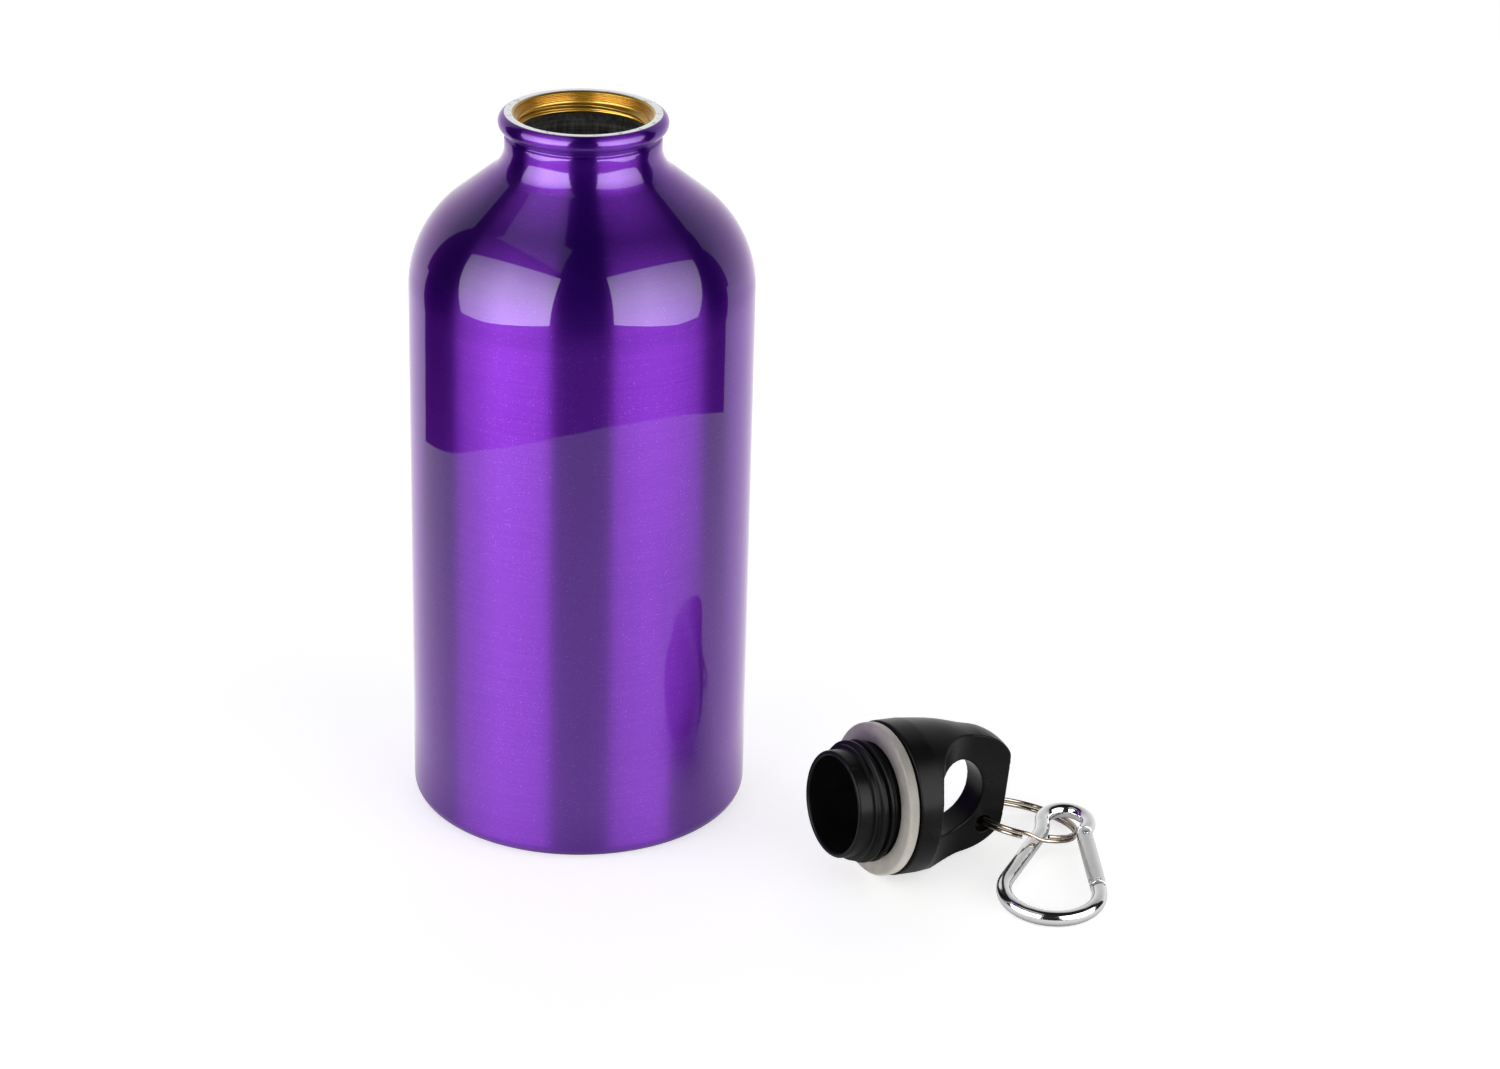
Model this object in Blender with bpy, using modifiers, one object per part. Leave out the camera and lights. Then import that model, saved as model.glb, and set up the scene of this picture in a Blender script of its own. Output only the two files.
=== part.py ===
"""Canteen: a spun aluminium bottle and its screw lid, with a split ring and a small carabiner.

Metres, +Z up. The origin is on the table, on the bottle's axis. The bottle stands open, and
the lid lies on its side beside it, with the split ring and the carabiner on its finger loop.
"""
from math import asin, atan, ceil, cos, hypot, pi, radians, sin, tau

import bmesh
import bpy
from mathutils import Matrix, Vector

MM = 0.001

# Bottle: a straight body, a shoulder of two arcs with a cone between them, and a rolled mouth.
BODY_RADIUS = 33.0 * MM
SHOULDER_HEIGHT = 106.7 * MM
SHOULDER_ARC = 21.27 * MM
SHOULDER_ANGLE = radians(51.57)
SHOULDER_CONE = 9.84 * MM
NECK_ARC = 6.31 * MM
MOUTH_HEIGHT = 140.7 * MM
BEAD_RADIUS = 1.85 * MM
BEAD_CENTRE = 14.2 * MM
UNDERCUT_HEIGHT = 136.5 * MM
UNDERCUT_RADIUS = 14.3 * MM
WALL = 1.0 * MM
FLOOR = 1.2 * MM
BASE_CORNER = 3.0 * MM
BASE_STEP = 0.8 * MM
BASE_RING = (24.5 * MM, 26.0 * MM)
MOUTH_FLAT_HALF = 0.65 * MM
BEAD_END = radians(-72)

# Neck thread, shared by the bottle and the plug, right-handed.
PITCH = 1.77 * MM
THREAD_ROWS_PER_TURN = 4
NECK_THREAD = (12.35 * MM, 11.45 * MM)
NECK_THREAD_LOW = 136.7 * MM
PLUG_THREAD = (10.9 * MM, 11.85 * MM)
PLUG_THREAD_LOW = -5.0 * MM
PLUG_THREAD_HIGH = -0.45 * MM

# Lid, along its own axis: 0 is the sealing face of the gasket, + is towards the finger loop.
LID_FACE = Vector((57.659, -33.744, 15.665)) * MM
LID_YAW = radians(28.85)
LID_TILT = radians(-5.79)
LID_RADIUS = 15.0 * MM
LID_BAND = (2.5 * MM, 7.3 * MM)
LID_END = 29.2 * MM
LID_CROWN = 7.4 * MM
SOCKET_RADIUS = 11.2 * MM
SOCKET_DEPTH = 6.0 * MM
WEB_HALF = 3.1 * MM
SCOOP_DEPTH = 12.0 * MM
SCOOP_END = 20.0 * MM
SCOOP_POWER = 1.7
FINGER_HOLE = (15.8 * MM, 0.2 * MM)
FINGER_HOLE_RADIUS = 7.8 * MM
EYELET = (24.9 * MM, -7.0 * MM)
EYELET_RADIUS = 1.8 * MM
GASKET = (11.2 * MM, 14.8 * MM, 2.2 * MM)
GASKET_EDGE = 0.5 * MM
PLUG_TIP = -8.5 * MM
PLUG_RADIUS = 10.35 * MM
PLUG_BORE = 9.3 * MM
PLUG_STEP = (0.5 * MM, 0.8 * MM)
PLUG_FLOOR = 4.2 * MM
GAP = 0.3 * MM

# Split ring: two turns of one wire, one above the other, with a kink between them.
RING_CENTRE = Vector((88.332, -18.676, 3.939)) * MM
RING_LEAN = (0.202, 0.218)
RING_RADIUS = 10.796 * MM
RING_WIRE = 0.40 * MM
RING_LAYER = 0.45 * MM
RING_START = radians(112)
RING_SWEEP = radians(692)
RING_KINK = radians(97)
RING_KINK_HALF = radians(12)

# Carabiner, in its own plane: the small eye is at 0, and + runs towards the big end.
EYE_CENTRE = Vector((96.642, -19.699, 4.099)) * MM
CARABINER_TURN = radians(9.4)
CARABINER_SLOPE = atan(0.077)
ROD_RADIUS = 1.5 * MM
EYE_RADIUS = 4.55 * MM
EYE_SHOULDER = 1.6 * MM
NECK_SIDE = (-4.25 * MM, 4.6 * MM)
BIG_SIDE = (-8.45 * MM, 22.0 * MM)
BIG_RADIUS = 9.25 * MM
BIG_CENTRE = 24.3 * MM
NOSE_RADIUS = 9.05 * MM
GATE_HINGE = (4.45 * MM, 4.75 * MM)
GATE_TIP = (8.75 * MM, 21.8 * MM)
GATE_RADIUS = 1.65 * MM
GATE_BORE = 0.95 * MM
GATE_BORE_END = 12.5 * MM
GATE_SLOT_HALF = 0.75 * MM
HINGE_SLOT_END = 1.9 * MM
LATCH_SLOT = 3.0 * MM
TONGUE_HALF = 0.58 * MM
TONGUE_END = 1.1 * MM
LATCH_TONGUE = 2.5 * MM
RIVET_RADIUS = 0.42 * MM
RIVET_HEAD = (0.8 * MM, 0.3 * MM)
LATCH_PIN_RADIUS = 0.35 * MM
LATCH_PIN_BACK = 1.3 * MM
LATCH_PIN_HALF = 1.6 * MM
PIN_FIT = 0.06 * MM
NOTCH_HALF = 0.55 * MM
SPRING_COIL = 0.62 * MM
SPRING_WIRE = 0.14 * MM
SPRING_ENDS = (2.9 * MM, 12.2 * MM)
SPRING_TURNS = 7
PLUNGER_TIP = 1.5 * MM
PLUNGER_NOSE = 0.6 * MM
PLUNGER_FLANGE = (0.82 * MM, 0.4 * MM)
PLUNGER_SEAT = 2.05 * MM

# Axes that the moving pieces turn on.
LID_PIVOT = Vector((-6.0, -70.35, 94.04)) * MM
CARABINER_PIVOT = Vector((94.149, -20.0, 3.818)) * MM

STEPS = 40
FAR = 20.0 * MM
SHARP_ANGLE = radians(40)
WELD = 0.01 * MM


def start_empty():
    """Remove every object and give the model and its cutters a collection each."""
    for obj in list(bpy.data.objects):
        bpy.data.objects.remove(obj, do_unlink=True)
    made = []
    for name in ("canteen", "cutters"):
        group = bpy.data.collections.new(name)
        bpy.context.scene.collection.children.link(group)
        made.append(group)
    return made


def material(name, colour, roughness, metallic):
    """A Principled material of one colour."""
    made = bpy.data.materials.new(name)
    made.use_nodes = True
    shader = made.node_tree.nodes["Principled BSDF"]
    shader.inputs["Base Color"].default_value = (*colour, 1.0)
    shader.inputs["Roughness"].default_value = roughness
    shader.inputs["Metallic"].default_value = metallic
    return made


def arc(centre, radius, start, end, count):
    """Points on an arc from angle start to angle end, both included."""
    across, up = centre
    angles = [start + (end - start) * i / (count - 1) for i in range(count)]
    return [(across + radius * cos(a), up + radius * sin(a)) for a in angles]


def new_object(name, data, group):
    obj = bpy.data.objects.new(name, data)
    group.objects.link(obj)
    return obj


def turned(name, profile, group, steps=STEPS):
    """Turn a profile of (radius, height) points about Z; off the axis it closes on itself."""
    mesh = bpy.data.meshes.new(name)
    edges = [(i, i + 1) for i in range(len(profile) - 1)]
    if profile[0][0] > 0:
        edges.append((len(profile) - 1, 0))
    mesh.from_pydata([(r, 0.0, z) for r, z in profile], edges, [])
    obj = new_object(name, mesh, group)
    screw = obj.modifiers.new("Turn", "SCREW")
    screw.axis = "Z"
    screw.angle = tau
    screw.steps = steps
    screw.render_steps = steps
    screw.use_merge_vertices = True
    screw.merge_threshold = WELD
    screw.use_smooth_shade = True
    return obj


def wire(name, points, radius, group, resolution=2):
    """A round wire along the points, with filled ends."""
    curve = bpy.data.curves.new(name, "CURVE")
    curve.dimensions = "3D"
    curve.bevel_depth = radius
    curve.bevel_resolution = resolution
    curve.use_fill_caps = True
    spline = curve.splines.new("POLY")
    spline.points.add(len(points) - 1)
    for place, point in zip(spline.points, points):
        place.co = (*point, 1.0)
    return new_object(name, curve, group)


def plate(name, outline, half, group):
    """A flat plate of the outline in the XY plane, half thick to each side of it."""
    curve = bpy.data.curves.new(name, "CURVE")
    curve.dimensions = "2D"
    curve.fill_mode = "BOTH"
    curve.extrude = half
    spline = curve.splines.new("POLY")
    spline.points.add(len(outline) - 1)
    for place, point in zip(spline.points, outline):
        place.co = (*point, 0.0, 1.0)
    spline.use_cyclic_u = True
    return as_mesh(new_object(name, curve, group))


def as_mesh(obj):
    """Replace an object by its evaluated mesh, with a curve's caps welded on."""
    bpy.context.view_layer.update()
    graph = bpy.context.evaluated_depsgraph_get()
    mesh = bpy.data.meshes.new_from_object(obj.evaluated_get(graph))
    shape = bmesh.new()
    shape.from_mesh(mesh)
    bmesh.ops.remove_doubles(shape, verts=shape.verts, dist=WELD / 10)
    bmesh.ops.recalc_face_normals(shape, faces=shape.faces)
    shape.to_mesh(mesh)
    shape.free()
    name = obj.name
    group = obj.users_collection[0]
    place = obj.matrix_world.copy()
    bpy.data.objects.remove(obj, do_unlink=True)
    made = new_object(name, mesh, group)
    made.matrix_world = place
    return made


def rod(name, radius, length, frame, group, sides=16):
    """A solid cylinder from the frame's origin along its Z axis."""
    shape = bmesh.new()
    place = Matrix.Translation((0, 0, length / 2))
    bmesh.ops.create_cone(shape, cap_ends=True, segments=sides, radius1=radius,
                          radius2=radius, depth=length, matrix=place)
    mesh = bpy.data.meshes.new(name)
    shape.to_mesh(mesh)
    shape.free()
    obj = new_object(name, mesh, group)
    obj.matrix_world = frame
    return obj


def block(name, low, high, frame, group):
    """A box between two corners of the frame."""
    size = Vector(high) - Vector(low)
    middle = (Vector(high) + Vector(low)) / 2
    shape = bmesh.new()
    place = Matrix.Translation(middle) @ Matrix.Diagonal((*size, 1.0))
    bmesh.ops.create_cube(shape, size=1.0, matrix=place)
    mesh = bpy.data.meshes.new(name)
    shape.to_mesh(mesh)
    shape.free()
    obj = new_object(name, mesh, group)
    obj.matrix_world = frame
    return obj


def cut(obj, cutter, operation="DIFFERENCE"):
    """Cut the object with a cutter, which stays as a hidden wire guide."""
    cutter.hide_render = True
    cutter.display_type = "WIRE"
    change = obj.modifiers.new(cutter.name, "BOOLEAN")
    change.operation = operation
    change.solver = "EXACT"
    change.object = cutter


def finish(obj, paint, parent):
    """Give a piece its material and smooth shading, and hang it on its pivot."""
    obj.data.materials.append(paint)
    if obj.type == "MESH":
        obj.data.shade_smooth()
        obj.data.set_sharp_from_angle(angle=SHARP_ANGLE)
    place = obj.matrix_world.copy()
    obj.parent = parent
    obj.matrix_parent_inverse = parent.matrix_world.inverted()
    obj.matrix_world = place


def pivot(name, place, group, parent=None):
    """An empty that a moving group of pieces hangs on."""
    obj = new_object(name, None, group)
    obj.empty_display_size = 5 * MM
    if parent is not None:
        obj.parent = parent
        obj.matrix_parent_inverse = parent.matrix_world.inverted()
    obj.matrix_world = Matrix.Translation(place)
    bpy.context.view_layer.update()
    return obj


def add_thread(obj, low, high, near, far):
    """Move the rows between two heights in and out, from radius near to far, as a helix."""
    for vertex in obj.data.vertices:
        place = vertex.co
        flat = Vector((place.x, place.y))
        if not (low < place.z < high and abs(flat.length - near) < WELD):
            continue
        turn = place.z / PITCH - flat.angle_signed(Vector((1, 0)), 0.0) / tau
        wave = abs(2 * (turn % 1) - 1)
        ends = min(1.0, (place.z - low) / (PITCH / 2), (high - place.z) / (PITCH / 2))
        radius = near + (far - near) * wave * ends
        place.x = flat.x * radius / flat.length
        place.y = flat.y * radius / flat.length


def thread_rows(low, high, radius):
    """Profile points for a thread, from its low end to its high end."""
    rows = ceil((high - low) / PITCH * THREAD_ROWS_PER_TURN)
    return [(radius, low + (high - low) * i / rows) for i in range(rows + 1)]


def shoulder(inset, count):
    """The shoulder from the body up to the neck, moved inwards by inset."""
    middle = BODY_RADIUS - SHOULDER_ARC
    low = arc((middle, SHOULDER_HEIGHT), SHOULDER_ARC - inset, 0, SHOULDER_ANGLE, count)
    out = SHOULDER_ARC + NECK_ARC
    centre = (middle + out * cos(SHOULDER_ANGLE) - SHOULDER_CONE * sin(SHOULDER_ANGLE),
              SHOULDER_HEIGHT + out * sin(SHOULDER_ANGLE) + SHOULDER_CONE * cos(SHOULDER_ANGLE))
    high = arc(centre, NECK_ARC + inset, pi + SHOULDER_ANGLE, pi, count // 2 + 1)
    return low + high


def make_bottle(group):
    """Bottle: up the inside from the floor, over the rolled mouth and down the outside."""
    inner = BODY_RADIUS - WALL
    floor = BASE_STEP + FLOOR
    corner = BASE_CORNER - WALL / 2
    lip = MOUTH_HEIGHT - (BEAD_RADIUS ** 2 - MOUTH_FLAT_HALF ** 2) ** 0.5
    flat = asin(MOUTH_FLAT_HALF / BEAD_RADIUS)
    root = NECK_THREAD[0]
    inside = [(0, floor)]
    inside += arc((inner - corner, floor + corner), corner, -pi / 2, 0, 4)
    inside += shoulder(WALL, 8)
    inside += thread_rows(NECK_THREAD_LOW, lip - GAP, root)
    mouth = arc((BEAD_CENTRE, lip), BEAD_RADIUS, pi, pi / 2 + flat, 5)
    bead = arc((BEAD_CENTRE, lip), BEAD_RADIUS, pi / 2 - flat, BEAD_END, 9)
    outer_shoulder = shoulder(0, 10)[::-1]
    neck = [(UNDERCUT_RADIUS, UNDERCUT_HEIGHT), (outer_shoulder[0][0], UNDERCUT_HEIGHT - GAP)]
    foot = arc((BODY_RADIUS - BASE_CORNER, BASE_CORNER), BASE_CORNER, 0, -pi / 2, 5)
    base = [(BASE_RING[1], 0), (BASE_RING[0], BASE_STEP), (0, BASE_STEP)]
    profile = inside + mouth + bead + neck + outer_shoulder + foot + base
    bottle = as_mesh(turned("bottle_body", profile, group))
    add_thread(bottle, NECK_THREAD_LOW, lip - GAP, root, NECK_THREAD[1])
    return bottle


def lid_frame():
    """The lid's own frame: Z along its axis to the loop, X along the finger hole."""
    axis = Vector((cos(LID_TILT) * cos(LID_YAW), cos(LID_TILT) * sin(LID_YAW), sin(LID_TILT)))
    side = Vector((sin(LID_YAW), -cos(LID_YAW), 0))
    down = axis.cross(side)
    turn = Matrix((side, down, axis)).transposed().to_4x4()
    return Matrix.Translation(LID_FACE) @ turn


def across(frame, height, up, length):
    """A frame whose Z axis crosses the lid from side to side at a height and a level."""
    place = Matrix.Translation((-length / 2, -up, height))
    return frame @ place @ Matrix.Rotation(pi / 2, 4, "Y")


def scoop_outline():
    """One side's scoop in the plane of the axis: level with the web, then out to the band."""
    count = 12
    points = []
    for i in range(count + 1):
        share = sin(pi / 2 * i / count)
        height = SCOOP_END - share * (SCOOP_END - LID_BAND[1])
        rise = SCOOP_DEPTH * (1 - (1 - share ** SCOOP_POWER) ** (1 / SCOOP_POWER))
        points.append((WEB_HALF + rise, height))
    return points + [(FAR, LID_BAND[1] - GAP), (FAR, LID_END + FAR), (WEB_HALF, LID_END + FAR)]


def make_lid_shell(frame, group, cutters):
    """Lid shell: a domed body with a scoop on each side, which leaves the finger loop."""
    low, high = LID_BAND
    dome = [(8.2, 29.0), (9.6, 27.9), (11.0, 26.0), (12.0, 24.0), (12.6, 22.0), (13.0, 20.0),
            (14.2, 14.6)]
    profile = [(0, LID_END), (LID_CROWN, LID_END)] + [(r * MM, z * MM) for r, z in dome]
    profile += [(LID_RADIUS, high), (LID_RADIUS, low + GAP), (LID_RADIUS - GAP, low)]
    profile += [(SOCKET_RADIUS, low), (SOCKET_RADIUS, SOCKET_DEPTH), (0, SOCKET_DEPTH)]
    shell = as_mesh(turned("lid_shell", profile, group))
    shell.matrix_world = frame
    for name, side in (("scoop_right", 1), ("scoop_left", -1)):
        outline = [(side * x, z) for x, z in scoop_outline()]
        scoop = plate(name, outline, FAR, cutters)
        scoop.matrix_world = frame @ Matrix.Rotation(pi / 2, 4, "X")
        cut(shell, scoop)
    hole = across(frame, *FINGER_HOLE, 2 * FAR)
    cut(shell, rod("finger_hole", FINGER_HOLE_RADIUS, 2 * FAR, hole, cutters, 40))
    eyelet = across(frame, *EYELET, 2 * FAR)
    cut(shell, rod("eyelet", EYELET_RADIUS, 2 * FAR, eyelet, cutters, 20))
    return shell


def make_plug(frame, group):
    """Threaded plug: a hollow cup, closed inside the lid and open at its tip."""
    root = PLUG_THREAD[0]
    rim = (PLUG_RADIUS - PLUG_BORE) / 2
    middle = (PLUG_RADIUS + PLUG_BORE) / 2
    top = SOCKET_DEPTH - GAP
    profile = [(0, top), (root, top)]
    profile += thread_rows(PLUG_THREAD_LOW, PLUG_THREAD_HIGH, root)[::-1]
    near, far = PLUG_STEP
    profile += [(root, PLUG_THREAD_LOW - near), (PLUG_RADIUS, PLUG_THREAD_LOW - far)]
    profile += arc((middle, PLUG_TIP + rim), rim, 0, -pi, 5)
    profile += [(PLUG_BORE, PLUG_FLOOR), (0, PLUG_FLOOR)]
    plug = as_mesh(turned("threaded_plug", profile, group))
    add_thread(plug, PLUG_THREAD_LOW, PLUG_THREAD_HIGH, root, PLUG_THREAD[1])
    plug.matrix_world = frame
    return plug


def make_gasket(frame, group):
    """Flat sealing ring with rounded outer edges."""
    inner, outer, thick = GASKET
    profile = arc((outer - GASKET_EDGE, thick - GASKET_EDGE), GASKET_EDGE, pi / 2, 0, 3)
    profile += arc((outer - GASKET_EDGE, GASKET_EDGE), GASKET_EDGE, 0, -pi / 2, 3)
    profile += [(inner, 0), (inner, thick)]
    gasket = turned("lid_gasket", profile, group)
    gasket.matrix_world = frame
    return gasket


def make_ring(group):
    """Split ring, with one side through the eyelet and the carabiner's eye on the other."""
    normal = Vector((sin(RING_LEAN[0]), sin(RING_LEAN[1]), 1)).normalized()
    left = normal.cross(Vector((0, 1, 0))).normalized()
    front = normal.cross(left)
    count = 60
    points = []
    for i in range(count + 1):
        turn = RING_START + RING_SWEEP * i / count
        past_kink = (turn - tau - RING_KINK) / RING_KINK_HALF
        level = -RING_LAYER * max(-1.0, min(1.0, past_kink))
        flat = left * cos(turn) + front * sin(turn)
        points.append(RING_CENTRE + RING_RADIUS * flat + level * normal)
    return wire("split_ring", points, RING_WIRE, group)


def carabiner_frame():
    """The carabiner's own frame: X across it, -Y towards its big end, Z out of its plane."""
    lean = Matrix.Rotation(CARABINER_SLOPE, 4, "X")
    return Matrix.Translation(EYE_CENTRE) @ lean @ Matrix.Rotation(-CARABINER_TURN, 4, "Z")


def gate_frame(frame):
    """The gate's frame: origin on the hinge, Z along the gate, X outwards, Y out of plane."""
    along = Vector((GATE_TIP[0] - GATE_HINGE[0], GATE_HINGE[1] - GATE_TIP[1], 0)).normalized()
    normal = Vector((0, 0, 1))
    outwards = normal.cross(along)
    turn = Matrix((outwards, normal, along)).transposed().to_4x4()
    return frame @ Matrix.Translation((GATE_HINGE[0], -GATE_HINGE[1], 0)) @ turn


def rod_path(length):
    """Centre line of the bent rod, from its nose round the big end and the eye to the hinge."""
    hinge = Vector(GATE_HINGE)
    along = (Vector(GATE_TIP) - hinge).normalized()
    points = [hinge + along * (length - LATCH_TONGUE), hinge + along * (length + GAP)]
    first = asin((GATE_TIP[1] - BIG_CENTRE) / BIG_RADIUS) + radians(4)
    last = pi - asin((BIG_SIDE[1] - BIG_CENTRE) / BIG_RADIUS)
    count = 24
    for i in range(count + 1):
        turn = first + (last - first) * i / count
        blend = max(0.0, 1 - i / 8)
        radius = BIG_RADIUS + (NOSE_RADIUS - BIG_RADIUS) * blend
        points.append(Vector((radius * cos(turn), BIG_CENTRE + radius * sin(turn))))
    points.append(Vector(NECK_SIDE))
    start = pi - asin(EYE_SHOULDER / EYE_RADIUS)
    end = tau + asin(EYE_SHOULDER / EYE_RADIUS)
    points += [Vector(p) for p in arc((0, 0), EYE_RADIUS, start, end, 18)]
    points += [hinge - along * HINGE_SLOT_END, hinge, hinge + along * TONGUE_END]
    return [(p.x, -p.y, 0) for p in points]


def make_carabiner_body(frame, gate, length, group, cutters):
    """Bent rod with a flat tongue at its hinge and a notched one at its nose."""
    body = as_mesh(wire("carabiner_body", rod_path(length), ROD_RADIUS, group, 3))
    body.matrix_world = frame
    wide = 2 * GATE_RADIUS
    for side, low in (("upper", TONGUE_HALF), ("lower", -TONGUE_HALF - wide)):
        ends = (("hinge", -HINGE_SLOT_END, wide), ("nose", length - wide, length + GAP))
        for name, start, end in ends:
            corner = (wide, low + wide, end)
            cut(body, block(f"{name}_{side}", (-wide, low, start), corner, gate, cutters))
    pin = length - LATCH_PIN_BACK
    notch = block("notch", (-wide, -wide, pin - NOTCH_HALF), (NOTCH_HALF, wide, pin + NOTCH_HALF),
                  gate, cutters)
    cut(body, notch)
    cut(body, cross_pin("tongue_hole", gate, 0, RIVET_RADIUS + PIN_FIT, wide, cutters))
    return body


def cross_pin(name, gate, along, radius, half, group):
    """A pin that crosses the gate, out of the carabiner's plane."""
    place = Matrix.Translation((0, half, along)) @ Matrix.Rotation(pi / 2, 4, "X")
    return rod(name, radius, 2 * half, gate @ place, group)


def make_gate(gate, length, group, cutters):
    """Gate: a round bar with a fork at each end and a bore for its spring."""
    start = Matrix.Translation((0, 0, -2 * GATE_RADIUS))
    whole = length + 2 * GATE_RADIUS
    bar = rod("carabiner_gate", GATE_RADIUS, whole, gate @ start, group, 20)
    outline = arc((0, 0), GATE_RADIUS, pi, 0, 13)
    outline = [(x, -y) for x, y in outline] + [(FAR, 0), (FAR, FAR), (-FAR, FAR), (-FAR, 0)]
    keep = plate("hinge_end", outline, GATE_RADIUS * 2, cutters)
    keep.matrix_world = gate @ Matrix.Rotation(pi / 2, 4, "X")
    cut(bar, keep, "INTERSECT")
    half = GATE_SLOT_HALF
    wide = 2 * GATE_RADIUS
    slots = (("hinge_slot", -wide, HINGE_SLOT_END), ("latch_slot", length - LATCH_SLOT, length + wide))
    for name, low, high in slots:
        cut(bar, block(name, (-wide, -half, low), (wide, half, high), gate, cutters))
    bore = gate @ Matrix.Translation((0, 0, PLUNGER_TIP))
    cut(bar, rod("bore", GATE_BORE, GATE_BORE_END - PLUNGER_TIP, bore, cutters))
    cut(bar, cross_pin("rivet_hole", gate, 0, RIVET_RADIUS + PIN_FIT, wide, cutters))
    pin = length - LATCH_PIN_BACK
    cut(bar, cross_pin("pin_hole", gate, pin, LATCH_PIN_RADIUS + PIN_FIT, wide, cutters))
    return bar


def make_rivet(gate, group):
    """Hinge rivet with a low round head at each end."""
    radius, thick = RIVET_HEAD
    reach = GATE_RADIUS + PIN_FIT
    head = [(0, reach + thick), (radius * 0.7, reach + thick), (radius, reach + thick / 2)]
    head += [(radius, reach), (RIVET_RADIUS, reach)]
    profile = head + [(r, -z) for r, z in head[::-1]]
    rivet = turned("gate_hinge_rivet", profile, group, 16)
    rivet.matrix_world = gate @ Matrix.Rotation(pi / 2, 4, "X")
    return rivet


def make_plunger(gate, group):
    """Round-headed plunger that the spring presses on the body's tongue."""
    flange, thick = PLUNGER_FLANGE
    top = PLUNGER_SEAT + thick
    head = arc((0, PLUNGER_TIP + PLUNGER_NOSE), PLUNGER_NOSE, 0, -pi / 2, 4)
    profile = [(0, top), (flange, top), (flange, PLUNGER_SEAT), (PLUNGER_NOSE, PLUNGER_SEAT)]
    profile += head[:-1]
    profile.append((0, PLUNGER_TIP))
    plunger = turned("gate_plunger", profile, group, 12)
    plunger.matrix_world = gate
    return plunger


def make_spring(gate, group):
    """Compression spring in the gate's bore."""
    low, high = SPRING_ENDS
    count = SPRING_TURNS * 10
    points = []
    for i in range(count + 1):
        turn = tau * SPRING_TURNS * i / count
        height = low + (high - low) * i / count
        points.append((SPRING_COIL * cos(turn), SPRING_COIL * sin(turn), height))
    spring = wire("gate_spring", points, SPRING_WIRE, group, 1)
    spring.matrix_world = gate
    return spring


def main():
    group, cutters = start_empty()
    purple = material("purple_lacquer", (0.16, 0.04, 0.42), 0.25, 0.9)
    black = material("black_plastic", (0.02, 0.02, 0.02), 0.5, 0.0)
    silicone = material("grey_silicone", (0.55, 0.53, 0.50), 0.6, 0.0)
    nickel = material("nickel_steel", (0.50, 0.45, 0.38), 0.25, 1.0)
    polished = material("polished_aluminium", (0.75, 0.75, 0.76), 0.2, 1.0)
    satin = material("satin_aluminium", (0.65, 0.65, 0.67), 0.35, 1.0)
    steel = material("steel", (0.45, 0.45, 0.46), 0.3, 1.0)

    table = pivot("canteen_root", (0, 0, 0), group)
    finish(make_bottle(group), purple, table)

    frame = lid_frame()
    carried = pivot("lid_pivot", LID_PIVOT, group, table)
    finish(make_lid_shell(frame, group, cutters), black, carried)
    finish(make_plug(frame, group), black, carried)
    finish(make_gasket(frame, group), silicone, carried)

    eyelet = frame @ Vector((0, -EYELET[1], EYELET[0]))
    ring = pivot("ring_pivot", eyelet, group, carried)
    finish(make_ring(group), nickel, ring)

    turning = pivot("carabiner_pivot", CARABINER_PIVOT, group, ring)
    plane = carabiner_frame()
    gate = gate_frame(plane)
    length = hypot(GATE_TIP[0] - GATE_HINGE[0], GATE_TIP[1] - GATE_HINGE[1])
    finish(make_carabiner_body(plane, gate, length, group, cutters), polished, turning)
    finish(make_rivet(gate, group), steel, turning)

    hinge = pivot("gate_pivot", gate.translation, group, turning)
    finish(make_gate(gate, length, group, cutters), satin, hinge)
    latch = length - LATCH_PIN_BACK
    pin = cross_pin("gate_latch_pin", gate, latch, LATCH_PIN_RADIUS, LATCH_PIN_HALF, group)
    finish(pin, steel, hinge)
    finish(make_plunger(gate, group), steel, hinge)
    finish(make_spring(gate, group), steel, hinge)


main()
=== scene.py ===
"""Looks of the canteen: lacquered bottle, black screw lid, split ring and carabiner in a studio."""
from math import asin, atan, cos, hypot, pi, radians, sin, tau

import bmesh
import bpy
from mathutils import Matrix, Vector


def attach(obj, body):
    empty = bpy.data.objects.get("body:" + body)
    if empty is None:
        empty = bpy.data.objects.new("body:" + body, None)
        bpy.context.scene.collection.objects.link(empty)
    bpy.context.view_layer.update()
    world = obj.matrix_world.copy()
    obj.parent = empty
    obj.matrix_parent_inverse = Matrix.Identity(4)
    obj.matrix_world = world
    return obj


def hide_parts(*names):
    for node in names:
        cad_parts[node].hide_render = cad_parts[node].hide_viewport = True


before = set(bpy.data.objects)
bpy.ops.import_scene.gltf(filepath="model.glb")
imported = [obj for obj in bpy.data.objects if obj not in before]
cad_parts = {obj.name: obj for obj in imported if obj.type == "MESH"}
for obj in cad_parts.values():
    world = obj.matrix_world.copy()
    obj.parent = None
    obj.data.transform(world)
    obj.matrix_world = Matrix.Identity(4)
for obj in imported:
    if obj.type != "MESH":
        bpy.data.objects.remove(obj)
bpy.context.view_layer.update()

MM = 0.001
FAR = 20 * MM
GAP = 0.3 * MM
Z_AXIS = Vector((0, 0, 1))

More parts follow.
